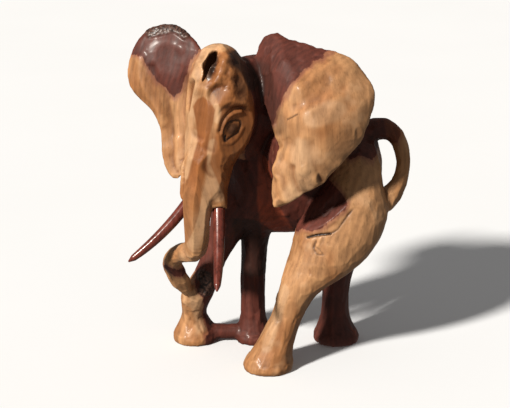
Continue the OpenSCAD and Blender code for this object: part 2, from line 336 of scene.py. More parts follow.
        # Cells that wrap round an edge are split by the way their points face.
        side = ((n[:, 0] > 0.35) + 2 * (n[:, 0] < -0.35) + 3 * (n[:, 1] > 0)).astype(int)
        _, owner = np.unique(owner * 9 + side, return_inverse=True)
        count = np.bincount(owner).astype(float)

        def mean(v):
            return np.stack([np.bincount(owner, v[:, k]) for k in range(3)], axis=1) / count[:, None]

        middle, way = mean(self.points), mean(n)
        way /= np.maximum(np.linalg.norm(way, axis=1), 1e-9)[:, None]
        lift = ((middle[owner] - self.points) * way[owner]).sum(axis=1)
        lift = np.clip(lift, -most, most) * share
        self.points = self.points + way[owner] * lift[:, None]

    def mark_hollows(self, rounds=14, full=0.5):
        """Marks the hollows for dirt and painted shade, and the ridges for wear. `full` is how deep a
        hollow is at its full mark.
        """
        smooth = self.points
        for _ in range(rounds):
            smooth = self.spread(smooth)
        depth = ((smooth - self.points) * self.normals(2)).sum(axis=1)
        self.stains["hollow"] = np.clip(depth / full, 0, 1)
        self.stains["ridge"] = np.clip(-depth / full, 0, 1)

    def bumps(self, weight, size, height, seed):
        """Rough lumps of about that size where weight is above 0."""
        n = self.normals(1)
        inside = np.where(weight > 0.01)[0]
        rng = np.random.default_rng(seed)
        p = self.points[inside]
        first = one_in_each_cell(p / size)
        seeds = p[first] + rng.normal(0, 0.25 * size, (len(first), 3))
        tall = rng.uniform(0.3, 1.0, len(first))
        tree = tree_of(seeds)
        lift = np.zeros(len(self.points))
        for i in inside:
            _, k, d = tree.find(self.points[i])
            lift[i] = tall[k] * max(0.0, 1 - (d / size) ** 2)
        self.points = self.points + n * (lift * height * weight)[:, None]


# ---- Meshes ---------------------------------------------------------------


def remeshed(mesh, voxel, name):
    """The mesh rebuilt from small cubes, as a new mesh of quads. voxel is in metres."""
    draft = bpy.data.objects.new(name + "_draft", mesh)
    bpy.context.scene.collection.objects.link(draft)
    cubes = draft.modifiers.new("Cubes", "REMESH")
    cubes.mode = "VOXEL"
    cubes.voxel_size = voxel
    cubes.adaptivity = 0.0
    view = bpy.context.evaluated_depsgraph_get()
    made = bpy.data.meshes.new_from_object(draft.evaluated_get(view), depsgraph=view)
    bpy.data.objects.remove(draft)
    return made


def form_of(mesh):
    """The Form of a mesh of quads."""
    points = np.empty(len(mesh.vertices) * 3)
    mesh.vertices.foreach_get("co", points)
    corners = np.empty(len(mesh.loops), dtype=np.int64)
    mesh.loops.foreach_get("vertex_index", corners)
    return Form(laid_out(points.reshape(-1, 3)), corners.reshape(-1, 4))


def mesh_of(form, name):
    """The mesh of a Form, with its stains as attributes."""
    mesh = bpy.data.meshes.new(name)
    mesh.vertices.add(len(form.points))
    mesh.vertices.foreach_set("co", at(form.points).ravel())
    mesh.loops.add(form.quads.size)
    mesh.loops.foreach_set("vertex_index", form.quads.ravel())
    mesh.polygons.add(len(form.quads))
    mesh.polygons.foreach_set("loop_start", np.arange(0, form.quads.size, 4))
    mesh.update(calc_edges=True)
    mesh.polygons.foreach_set("use_smooth", np.ones(len(form.quads), dtype=bool))
    for stain, amount in form.stains.items():
        mesh.attributes.new(stain, "FLOAT", "POINT").data.foreach_set("value", amount)
    mesh.validate()
    return mesh


# ---- Strokes on the block -------------------------------------------------

# The ways that the face looks, that its left cheek looks, and up and away to the near side.
FACE_WAY = np.array([-0.57, -0.82, 0.0])
FACE_LEFT = np.array([0.82, -0.57, 0.0])
HIGH_LEFT = unit(np.array([-0.6, -0.7, 0.3]))

# The trunk's middle, from the brow to the curl, as (x, y, z, radius).
TRUNK_LINE = [
    (-53, -26, 246, 27), (-54, -28, 226, 24), (-55, -30, 208, 20), (-57, -32, 190, 17),
    (-59, -34, 176, 15), (-62, -36, 162, 13.5), (-63, -36, 148, 12), (-63, -34, 134, 11.5),
    (-64, -30, 121, 10.5), (-67, -22, 113, 10),
]

EYE_MIDDLE = (-31, -43, 226)
EYE_RIM = [
    (-39, -46, 224), (-37, -46, 230), (-33, -44, 233), (-28, -42, 233), (-25, -40, 231), (-26, -41, 226),
    (-29, -43, 222), (-34, -45, 219), (-38, -46, 217),
]
LID_FOLD = [(-43, -47, 225), (-41, -46, 233), (-36, -45, 240), (-30, -42, 244), (-22, -38, 244)]
UPPER_LID = [(-40, -46, 224), (-39, -46, 230), (-36, -45, 236), (-31, -43, 239), (-25, -40, 240)]
BROW = [
    (-44, -46, 229), (-41, -45, 237), (-36, -44, 243), (-29, -41, 247), (-22, -37, 247), (-17, -32, 243),
]


def head_way(turn, rise=0.0):
    """A way that looks `turn` degrees to the elephant's left of its face, and up by `rise`."""
    turn = math.radians(turn)
    return FACE_WAY * math.cos(turn) + FACE_LEFT * math.sin(turn) + UP * rise


def carve_head(form):
    """Crown, brow and cheeks."""
    form.pushes([
        ((-62, -30, 270), 12, (5, -1, 1)), ((-60, -20, 284), 10, (4, 0, 0)),
        ((-46, -32, 283), 7, (1, 6, 0)), ((-48, -36, 274), 6, (0, 4.5, 0)),
    ])
    form.strokes([
        ([(-41, -17, 292), (-38, -26, 286), (-39, -32, 280), (-42, -37, 272), (-46, -40, 264)], 4.5, 2.2),
        ([(-59, -11, 287), (-62, -19, 279), (-64, -25, 270), (-65, -28, 261), (-65, -31, 252)], 7, 1.8),
    ])
    form.dabs([
        ((-35, -27, 283), 7, 2.0), ((-33, -36, 273), 6, 2.2), ((-27, -33, 266), 6, -2.2),
        ((-39, -40, 262), 5, -1.8), ((-33, -40, 256), 6, 1.8), ((-24, -33, 257), 6, -1.8),
        ((-21, -34, 250), 6, 1.6), ((-45, -42, 256), 5, 1.4), ((-37, -44, 207), 9, -1.4),
        ((-41, -42, 186), 10, 1.2), ((-66, -33, 116), 9, 2.4),
    ])
    form.stroke([(-77, -30, 128), (-78, -25, 120), (-76, -22, 112), (-72, -24, 106)], 4, -2.2)
    form.pushes([
        ((-84, 4, 78), 17, (5, 0, 5)), ((-76, 12, 68), 13, (4, -1, 4)),
    ])
    form.stroke([(-92, -6, 100), (-90, -2, 90), (-84, 3, 82)], 8, 1.6, facing=HIGH_LEFT)
    tip = np.linalg.norm(form.points - np.array([-70.0, 17, 62]), axis=1)
    form.soften(25, where=ease((15 - tip) / 6), keep_bulk=False)


def plane_head(form):
    """The crisp flats of the forehead, the temples and the trunk."""
    form.plane_down(TRUNK_LINE[2:], [(head_way(-6), 0.84), (head_way(-58), 0.9), (head_way(44), 0.86)])
    form.flats([
        ((-57, -41, 238), head_way(-6, 0.1), 24, 0.8),
        ((-46, -46, 222), head_way(28, 0.0), 17, 0.5),
        ((-31, -40, 226), head_way(66, 0.04), 25, 1.6),
        ((-66, -31, 252), head_way(-52, 0.2), 17, 0.8),
        ((-42, -43, 254), head_way(24, 0.42), 12, 0.8),
        ((-63, -22, 278), head_way(-20, 0.5), 12, 0.6),
        ((-45, -46, 196), head_way(34, -0.1), 13, 0.4),
        ((-33, -38, 190), head_way(74, -0.2), 12, 0.4),
    ])


def plane_left_ear(form):
    """The broad knife cuts along the ear's lower edge."""
    form.flats([
        ((64, -49, 204), (0.3, -0.93, -0.25), 13, 1.3),
        ((79, -43, 226), (0.5, -0.85, -0.1), 11, 1.0),
        ((47, -52, 189), (0.05, -0.9, -0.42), 9, 1.0),
        ((30, -51, 176), (0.1, -0.92, -0.38), 8, 0.7),
        ((84, -36, 248), (0.6, -0.78, 0.15), 11, 0.7),
    ])


def chisel_crown(form):
    """The short chisel marks beside the slot."""
    gap = form.gap_to(np.array([(-37.0, -32, 282), (-36, -37, 272), (-35, -40, 264)]), 10, share=0.7)
    form.bumps(0.9 * ease((9 - gap) / 4), size=4.2, height=1.3, seed=11)


def carved_share(form):
    """How strongly the knife facets show: plain on the body, faint on the ears."""
    x, y, z = form.points.T
    left = ease((z - 160) / 12) * ease((x + 2) / 4) * ease((-18 - y) / 6)
    right = ease((z - 158) / 12) * ease((-60 - x) / 6) * ease((y + 10) / 6)
    return 1 - 0.6 * np.maximum(left, right)


def carve_left_ear(form):
    """The folds, dents and ragged rim of the ear that faces out."""
    form.strokes([
        ([(32, -55, 216), (35, -56, 206), (42, -55, 198), (50, -53, 192), (60, -50, 190)], 9, -1.3),
        ([(28, -54, 222), (26, -53, 208), (30, -52, 194), (38, -52, 184)], 8, 1.3),
        ([(18, -50, 196), (19, -50, 186), (24, -51, 176), (30, -51, 172)], 5, -2.4),
        ([(8, -42, 184), (9, -45, 174), (14, -46, 166)], 4, 2.0),
        ([(4, -36, 228), (7, -38, 214), (6, -40, 200), (5, -42, 186)], 4, 1.6),
        ([(24, -40, 262), (38, -36, 272), (54, -33, 278), (68, -34, 276)], 9, 2.0),
        ([(20, -46, 246), (30, -50, 250), (44, -46, 258), (60, -44, 262)], 8, -1.6),
    ])
    form.dabs([
        ((60, -51, 210), 19, -1.5), ((74, -46, 224), 9, 1.2), ((30, -54, 236), 18, 2.0),
        ((15, -47, 216), 9, -1.6), ((64, -46, 244), 16, -1.4), ((27, -53, 194), 8, 1.6),
        ((44, -55, 234), 12, 1.0), ((80, -40, 240), 9, -1.0), ((84, -34, 258), 9, 0.8),
        ((46, -45, 268), 8, -1.0), ((38, -54, 186), 7, 1.2), ((58, -50, 196), 8, 1.4),
    ])
    form.pushes([
        ((84, -36, 222), 8, (-2.5, 0, 1)), ((76, -42, 205), 7, (-2, 0, 2)),
        ((61, -44, 192), 7, (-1.5, 0, 2.5)), ((88, -28, 240), 7, (1.5, 0, 0)),
        ((46, -47, 182), 6, (0, 0, -2)), ((70, -42, 198), 5, (1, 0, -2)), ((41, -15, 292), 7, (0, 0, -1.5)),
        ((62, -12, 288), 7, (0, 0, -1.5)), ((7, -44, 163), 8, (-5, 0, -3)), ((5, -39, 212), 7, (4, 0, 0)),
        ((6, -43, 192), 10, (-4, 0, 0)), ((5, -37, 229), 8, (-2.5, 0, 0)),
        ((54, -47, 186), 5, (1, 0, -2.5)), ((79, -40, 212), 5, (1.5, 0, -2)),
    ])


def carve_right_ear(form):
    """The thick rim, the hollow and the fold of the far ear."""
    form.strokes([
        ([(-112, 16, 276), (-113, 12, 262), (-108, 9, 248), (-99, 5, 236), (-92, 1, 222)], 6, 2.2),
        ([(-102, 14, 268), (-98, 9, 256), (-90, 6, 244), (-84, 2, 230), (-82, -2, 214)], 7, -1.8),
        ([(-84, 6, 240), (-81, 0, 222), (-80, -4, 204), (-80, -6, 188)], 4, 1.6),
        ([(-72, 2, 262), (-73, 0, 246), (-73, -3, 228), (-74, -6, 208), (-74, -8, 192)], 5, -1.3),
        ([(-66, -6, 268), (-68, -10, 250), (-69, -14, 232)], 4, 1.2),
    ])
    form.dabs([
        ((-88, 10, 278), 15, -1.6), ((-76, 8, 286), 8, 1.0), ((-88, -2, 200), 7, 1.2),
    ])


def carve_body(form):
    """The lip under the ear, the thigh, the flank and the knees."""
    lip = [
        (14, 6, 136), (22, -4, 131), (30, -17, 131), (40, -25, 134), (49, -28, 140), (58, -28, 147),
        (66, -25, 155),
    ]
    form.stroke(lip, 5, 1.8)
    form.strokes([
        ([(28, -8, 142), (40, -16, 145), (52, -21, 153), (60, -22, 160)], 8, -2.5),
        ([(34, -25, 126), (45, -30, 130), (57, -31, 134), (63, -30, 141), (70, -27, 151)], 3, -0.9),
        ([(40, -29, 124), (38, -30, 118), (42, -32, 113), (47, -33, 114), (46, -32, 120)], 2.6, -0.9),
        ([(72, -28, 152), (80, -26, 150), (86, -22, 158)], 6, 1.0),
        ([(14, -24, 96), (12, -25, 76), (8, -24, 60), (2, -30, 38)], 5, 1.2),
    ])
    form.pushes([
        ((101, 22, 222), 12, (0, 0, 2)), ((118, 18, 208), 9, (1.5, 0, 2)),
    ])
    form.stroke([(30, -31, 92), (22, -30, 74), (20, -28, 60)], 6, -0.8)


def carve_feet(form):
    """Ankles, toes and the rough knee."""
    form.dabs([
        ((-71, 26, 52), 5, 1.6), ((-78, 32, 44), 5, 1.6), ((-70, 28, 42), 4, -1.2), ((-10, 40, 26), 6, 1.2),
        ((-2, 40, 14), 5, 1.0), ((-14, -30, 12), 6, 1.0), ((8, -38, 6), 6, 0.8),
    ])
    form.stroke([(-14, 38, 40), (-12, 38, 28), (-16, 40, 18)], 4, -0.9)


def carve_eye(form):
    """The eyeball, its rim and lids."""
    form.dab(EYE_MIDDLE, 9, 1.2)
    form.stained([(LID_FOLD, 3, -0.7, 0.1)])
    form.stroke(UPPER_LID, 2.6, 1.9)
    form.stroke([(-39, -46, 215), (-34, -45, 214), (-28, -43, 218), (-23, -40, 226)], 2.4, 0.6)
    form.dab(EYE_MIDDLE, 8, -0.5, stain="stain", shade=0.75)
    form.stroke(EYE_RIM, 1.4, -0.9, closed=True, stain="stain", shade=0.8)
    form.stained([([(-38, -46, 217), (-38, -46, 221)], 1.6, -0.6, 1.0), ([EYE_MIDDLE], 4.2, 1.2, 0.8)])
    form.stroke(BROW, 4, 1.1)


def carve_cracks(form):
    """The drying cracks on the thigh, the ear and the shin."""
    form.stained([
        ([(33, -25, 126), (38, -27, 128), (45, -30, 130), (52, -31, 131)], 1.5, -1.6, 1.0),
        ([(52, -31, 131), (58, -31, 135), (61, -31, 139), (66, -29, 146), (71, -27, 152)], 1.0, -0.6, 0.7),
        ([(40, -29, 124), (38, -30, 118), (41, -32, 113), (46, -33, 113)], 1.1, -0.6, 0.55),
        ([(38, -30, 120), (43, -31, 117), (46, -33, 113)], 0.9, -0.4, 0.45),
        ([(14, -40, 235), (18, -43, 238), (22, -45, 241)], 0.9, -0.5, 0.7),
        ([(4, -24, 75), (5, -25, 72), (6, -26, 69)], 1.5, -1.2, 0.9),
    ])


# ---- Where the two woods lie ----------------------------------------------

# Each patch of heartwood: its outline seen from the near side as (x, z), and how near and far it reaches.
HEART_PATCHES = [
    # the top of the right ear
    ([(-126, 279), (-113, 278), (-106, 271), (-102, 262), (-97, 255), (-90, 252), (-83, 243), (-78, 250),
      (-74, 257), (-71, 268), (-67, 279), (-59, 288), (-59, 312), (-126, 312)], -20, 60),
    # the left ear's root and upper edge
    ([(-22, 150), (2, 150), (3, 236), (6, 246), (10, 253), (15, 262), (21, 269), (28, 277), (35, 280),
      (42, 282), (52, 289), (60, 296), (60, 312), (-22, 312)], -26, 90),
    # the left ear's dark front edge
    ([(-2, 226), (3, 230), (4, 239), (10, 250), (15, 261), (21, 268), (28, 276), (40, 283), (52, 288),
      (60, 312), (-2, 312)], -70, 90),
    # the lip under the ear
    ([(2, 124), (18, 126), (26, 130), (36, 132), (46, 136), (54, 143), (64, 151), (67, 158), (61, 165),
      (52, 172), (52, 214), (2, 214)], -30, 90),
    # the rump and the top of the tail
    ([(70, 190), (88, 186), (97, 194), (106, 199), (113, 200), (117, 208), (113, 226), (60, 240)], 0, 70),
    # the left foreleg behind its pale front
    ([(-49, -5), (-52, 4), (-57, 12), (-61, 24), (-61, 37), (-61, 50), (-66, 56), (-69, 64), (-68, 76),
      (-78, 116), (-40, 150), (-10, 150), (-10, -5)], 4, 90),
    # the right foreleg and the web
    ([(-60, -5), (-60, 10), (-40, 24), (-34, 60), (-30, 140), (40, 140), (30, 90), (18, 60), (18, -5)],
      14, 90),
    # the right hind leg
    ([(34, -5), (79, -5), (78, 12), (75, 24), (74, 40), (74, 60), (78, 90), (84, 130), (34, 130)], 22, 90),
]
# The heart runs up through the middle of the block.
CORE_MIDDLE, CORE_RADII = np.array([12.0, 36.0]), np.array([84.0, 39.0])
# It ends this far to the front.
CORE_FRONT = -50.0
# Above the legs the heart ends this far to the right, so that the right flank is pale.
HEART_FAR, HEART_LOW = 68.0, 112.0
# The dark band round the bend of the trunk's curl.
DARK_BAND = [(-93.0, -4, 89), (-84, -2, 83), (-77, 2, 84)]

# Where a deeper, honey-brown layer shows on the forehead and the front of the trunk, as (x, z).
HONEY_PATCH = [
    (-65, 244), (-61, 251), (-56, 254), (-50, 250), (-46, 244), (-48, 233), (-51, 222), (-53, 212),
    (-53, 202), (-55, 190), (-58, 178), (-59, 164), (-61, 152), (-65, 140), (-70, 128), (-74, 122),
    (-80, 126), (-80, 168), (-74, 176), (-70, 184), (-67, 196), (-64, 206), (-61, 216), (-62, 229),
]

# Painted shade on the head's side, which is painted browner, and the browner crown, as (x, z).
HEAD_SHADE_PATCH = [
    (-44, 288), (-28, 292), (-6, 280), (-4, 200), (-20, 160), (-36, 150), (-40, 170), (-46, 186),
    (-51, 198), (-48, 212), (-45, 226), (-41, 242), (-46, 256), (-54, 262), (-50, 272),
]
# Painted light and shade: lit, redder places and shaded, darker ones. Each is the outline as (x, z), how
# near and far it reaches, the stain and its share.
PAINTED_LIGHT_AND_SHADE = [
    # painted light: the sunlit red heartwood between the ear and the foreleg, and on the outer side of the
    # far hind foot
    ([(-10, 196), (1, 190), (3, 170), (5, 150), (16, 130), (24, 112), (16, 102), (-6, 106), (-11, 150)],
      -12, 60, "red", 0.8),
    ([(60, 2), (66, 14), (72, 20), (82, 10), (84, -4), (60, -4)], 40, 90, "red", 0.6),
    # painted shadow on the right foreleg above the knee and under the chest
    ([(-28, 66), (20, 66), (16, 104), (-12, 130), (-34, 130)], 12, 90, "stain", 0.75),
    # painted shade on the outer side of the right ear, the tail and the rump
    ([(-130, 286), (-104, 262), (-96, 248), (-92, 230), (-104, 222), (-130, 240)], -10, 60, "ripe", 0.5),
    ([(100, 240), (140, 240), (140, 140), (112, 140), (108, 170), (104, 196)], -20, 60, "ripe", 0.35),
]
# Strokes of painted light, paler wood on the lit strips and the sheen: the path and its width.
LIT_PALE_STROKES = [
    ([(-58, -24, 288), (-62, -28, 276), (-65, -31, 262), (-66, -34, 250), (-66, -35, 240)], 8),
    ([(-65, -39, 222), (-68, -42, 208), (-70, -43, 196), (-73, -42, 186)], 5),
    ([(-49, -47, 216), (-52, -48, 204), (-52, -49, 192), (-54, -50, 180), (-56, -49, 168),
      (-58, -49, 156)], 5),
    ([(-60, -47, 146), (-64, -44, 134), (-67, -40, 124)], 9),
    ([(-46, -46, 246), (-44, -46, 236)], 5),
    ([(-51, -49, 190), (-47, -48, 178), (-46, -47, 168)], 7),
    ([(24, -52, 212), (26, -52, 196), (26, -50, 180), (20, -49, 172)], 14),
    ([(36, -54, 240), (50, -52, 244)], 13),
    ([(-64, 27, 56), (-66, 28, 40), (-66, 30, 20)], 10),
    ([(13, -25, 77), (4, -28, 52), (-4, -32, 26)], 8),
]
# The crown slot's hollow, painted near-black as painted shade, as (x, z) on an upright sheet that stands at
# SLOT_SHEET. It runs down by SLOT_FALL for each millimetre inwards.
CROWN_SLOT_SHADE = [
    (-54, 268), (-56, 277), (-54, 285), (-51, 291), (-46, 294), (-44, 287), (-45, 280), (-48, 273),
    (-51, 266),
]
SLOT_SHEET, SLOT_FALL = -36, 0.3


def inside_patch(outline, points, near=-math.inf, far=math.inf):
    """How far each point lies inside a patch, and below 0 outside it.

    The outline is closed and seen from the near side as (x, z), and it reaches from near to far.
    """
    x, y, z = points.T
    corners = np.array(outline + outline[:1], float)
    gap = nearest_on(corners, np.stack([x, z], axis=1))[0]
    odd = np.zeros(len(x), dtype=bool)
    for a, b in zip(corners[:-1], corners[1:]):
        rise = b[1] - a[1] if b[1] != a[1] else 1e-9
        odd ^= ((a[1] > z) != (b[1] > z)) & (x < a[0] + (z - a[1]) * (b[0] - a[0]) / rise)
    return np.minimum(np.where(odd, gap, -gap), np.minimum(y - near, far - y))


def stain_woods(form):
    """Marks how deep each point lies in the heartwood, paints the honey wood, and paints light and shade:
    ripe, tinted, pale and slot.
    """
    x, y, z = form.points.T
    off = (form.points[:, :2] - CORE_MIDDLE) / CORE_RADII
    heart = (1 - np.linalg.norm(off, axis=1)) * CORE_RADII.min()
    heart = np.minimum(heart, x - CORE_FRONT)
    for outline, near, far in HEART_PATCHES:
        heart = np.maximum(heart, inside_patch(outline, form.points, near, far))
    heart = np.minimum(heart, HEART_FAR - y + 2 * np.maximum(HEART_LOW - z, 0))
    band = form.gap_to(np.array(DARK_BAND), 8, share=0.6)
    heart = np.maximum(heart, 4.5 - band)
    form.stains["heart"] = np.clip(heart, -20, 20)
    facing = form.normals(3) @ FACE_WAY
    honey = inside_patch(HONEY_PATCH, form.points, far=-8)
    upper = 0.62 + 0.38 * ease((z - 160) / 50)
    form.stains["honey"] = ease(honey / 1.6 + 0.5) * ease((facing - 0.1) / 0.2) * upper
    # Painted shade: the ripe mask paints the head's shaded side browner, and the tints add the right ear,
    # the tail and the rump.
    ripe = inside_patch(HEAD_SHADE_PATCH, form.points, far=-6)
    form.stains["ripe"] = ease(ripe / 2 + 0.5) * ease(0.5 - heart / 2)
    for outline, near, far, stain, share in PAINTED_LIGHT_AND_SHADE:
        form.stain(stain, share * ease(inside_patch(outline, form.points, near, far) / 3 + 0.5))
    on_sheet = np.stack([x, y, z + SLOT_FALL * (y - SLOT_SHEET)], axis=1)
    slot = inside_patch(CROWN_SLOT_SHADE, on_sheet, far=-2)
    # Painted light: paler strokes on the lit strips and the sheen.
    for path, width in LIT_PALE_STROKES:
        form.stroke(path, width, 0.0, facing=FACE_WAY, stain="pale", shade=0.7)
    # Painted shade: the crown slot's hollow is painted near-black.
    form.stain("stain", 0.97 * ease(slot / 1.6 + 0.5))


def smudges_and_shade(form):
    """Dark smudges on the crown and along the ear's edge, and painted shade behind the head, on the ear's
    root.
    """
    form.stained([
        ([(-29, -22, 283), (-24, -19, 279), (-18, -19, 271), (-15, -17, 262)], 11, 0, 0.92),
        ([(-28, -36, 266), (-25, -36, 260), (-24, -36, 254)], 7, 0, 0.55),
        ([(26, -50, 184), (28, -50, 178), (30, -50, 172)], 3.5, 0, 0.35),
        ([(8, -43, 163)], 5, 0, 0.5),
        # painted shade on the ear's root, behind the head
        ([(-6, -18, 268), (-2, -26, 252), (2, -30, 238), (4, -32, 228)], 13, 0, 0.5),
    ])


def grow_crust(form):
    """The rough dark bark on the left knee and along the top of the right ear."""
    knee = form.gap_to(np.array([(-59.0, 28, 70), (-57, 27, 64), (-58, 29, 58)]), 12)
    ear = form.gap_to(curve_through([(-104, 20, 297), (-93, 20, 300), (-82, 18, 302), (-73, 13, 297)]), 8)
    crust = np.maximum(ease((8 - knee) / 3), 0.9 * ease((5.5 - ear) / 3))
    form.stains["crust"] = crust
    form.bumps(crust, size=3.6, height=1.5, seed=5)
    form.bumps(crust, size=1.9, height=0.5, seed=6)


# ---- Fits that the tusks and the floor need -------------------------------


def open_sockets(form):
    """Clears each tusk's socket and recess, so that the tusk slides out freely."""
    for tusk, seat in TUSK_SEATS.items():
        axis = pull_axis(tusk)
        off = form.points - np.array(seat)
        along = off @ axis
        out = off - np.outer(along, axis)
        radius = np.linalg.norm(out, axis=1)
        way = out / np.maximum(radius, 1e-6)[:, None]
        in_socket = (along > -SOCKET_DEPTH) & (along < -RECESS_FLOOR)
        bore = in_socket & (along > -SOCKET_DEPTH + 0.3) & (radius > SOCKET_FLOOR_R) & (radius < SOCKET_R)
        floor = in_socket & (radius <= SOCKET_FLOOR_R)
        past_seat = along >= -RECESS_FLOOR
        wall = past_seat & (along < RECESS_REACH) & (radius < RECESS_R) & (radius > RECESS_FLOOR_R)
        seat_floor = past_seat & (along < RECESS_FLOOR_BAND) & (radius <= RECESS_FLOOR_R)
        target = np.where(bore, SOCKET_R, np.where(wall, RECESS_R, radius))
        depth = np.where(floor, -SOCKET_DEPTH, np.where(seat_floor, -RECESS_FLOOR, along))
        form.points = np.array(seat) + np.outer(depth, axis) + way * target[:, None]


def stand_flat(form):
    """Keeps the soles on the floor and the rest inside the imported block."""
    form.points[:, 2] = np.where(form.points[:, 2] < SOLE_SKIN, 0.0, form.points[:, 2])
    form.points = np.clip(form.points, LAYOUT_LOW - LEEWAY, LAYOUT_HIGH + LEEWAY)
    form.points[:, 2] = np.maximum(form.points[:, 2], 0.0)


# ---- Woods ----------------------------------------------------------------


class Finish:
    """A material being built. An input's name has _ for each space."""

    def __init__(self, name):
        self.material = bpy.data.materials.new(name)
        self.material.use_nodes = True
        self.tree = self.material.node_tree
        self.tree.nodes.clear()

    def add(self, kind, settings=None, **inputs):
        node = self.tree.nodes.new("ShaderNode" + kind)
        for name, value in (settings or {}).items():
            setattr(node, name, value)
        for name, value in inputs.items():
            self.feed(node.inputs[name.replace("_", " ")], value)
        return node

    def feed(self, socket, value):
        if isinstance(value, bpy.types.NodeSocket):
            self.tree.links.new(value, socket)
        else:
            socket.default_value = value

    def maths(self, how, a, b):
        node = self.add("Math", {"operation": how})
        self.feed(node.inputs[0], a)
        self.feed(node.inputs[1], b)
        return node.outputs[0]

    def plus(self, a, b):
        return self.maths("ADD", a, b)

    def times(self, a, b):
        return self.maths("MULTIPLY", a, b)

    def span(self, value, low, high, to_low=0.0, to_high=1.0):
        """The value eased from low..high to to_low..to_high."""
        ends = {"From_Min": low, "From_Max": high, "To_Min": to_low, "To_Max": to_high}
        node = self.add("MapRange", {"interpolation_type": "SMOOTHSTEP"}, Value=value, **ends)
        return node.outputs["Result"]

    def blend(self, amount, a, b, how="MIX"):
        node = self.add("Mix", {"data_type": "RGBA", "blend_type": how})
        self.feed(node.inputs[0], amount)
        self.feed(node.inputs[6], a)
        self.feed(node.inputs[7], b)
        return node.outputs[2]

    def noise(self, vector, scale, detail=3.0, rough=0.5):
        inputs = {"Vector": vector, "Scale": scale, "Detail": detail, "Roughness": rough}
        return self.add("TexNoise", None, **inputs).outputs["Fac"]

    def raggedness(self, vector, scale, detail, reach):
        """Noise that swings by about half of reach to both sides of 0."""
        return self.times(self.maths("SUBTRACT", self.noise(vector, scale, detail), 0.5), reach)

    def stretched(self, vector, scale, place=(0, 0, 0)):
        return self.add("Mapping", None, Vector=vector, Scale=scale, Location=place).outputs[0]

    def warped(self, vector, scale, reach):
        """A place moved about by up to half of reach, so that the grain flows."""
        node = self.add("TexNoise", None, Vector=vector, Scale=scale, Detail=1.0)
        push = self.add("VectorMath", {"operation": "SUBTRACT"})
        self.feed(push.inputs[0], node.outputs["Color"])
        push.inputs[1].default_value = (0.5, 0.5, 0.5)
        moved = self.add("VectorMath", {"operation": "MULTIPLY_ADD"})
        self.feed(moved.inputs[0], push.outputs[0])
        moved.inputs[1].default_value = (reach, reach, reach)
        self.feed(moved.inputs[2], vector)
        return moved.outputs[0]

    def painted(self, name):
        return self.add("Attribute", {"attribute_name": name}).outputs["Fac"]

    def gradient(self, value, stops):
        node = self.add("ValToRGB", None, Fac=value)
        ramp = node.color_ramp
        while len(ramp.elements) < len(stops):
            ramp.elements.new(0.5)
        for element, (place, colour) in zip(ramp.elements, stops):
            element.position = place
            element.color = (*colour, 1.0)
        return node.outputs["Color"]

    def grained(self, figure, tone, *stops):
        """One colour along a figure: each stop is a place and how light the colour is there."""
        return self.gradient(figure, [(place, shade(tone, light)) for place, light in stops])

    def finish(self, colour, roughness, bump, gloss, coat, coat_roughness):
        surface = {"Base_Color": colour, "Roughness": roughness, "Normal": bump}
        varnish = {"Specular_IOR_Level": gloss, "Coat_Weight": coat, "Coat_Roughness": coat_roughness}
        shader = self.add("BsdfPrincipled", None, **surface, **varnish)
        out = self.add("OutputMaterial")
        self.tree.links.new(shader.outputs[0], out.inputs["Surface"])
        return self.material

    def bumped(self, height, strength, distance, normal=None):
        node = self.add("Bump", None, Height=height, Strength=strength, Distance=distance)
        if normal is not None:
            self.feed(node.inputs["Normal"], normal)
        return node.outputs[0]


def shade(colour, k):
    """A colour made darker or lighter, kept under 1."""
    return tuple(min(c * k, 1.0) for c in colour)


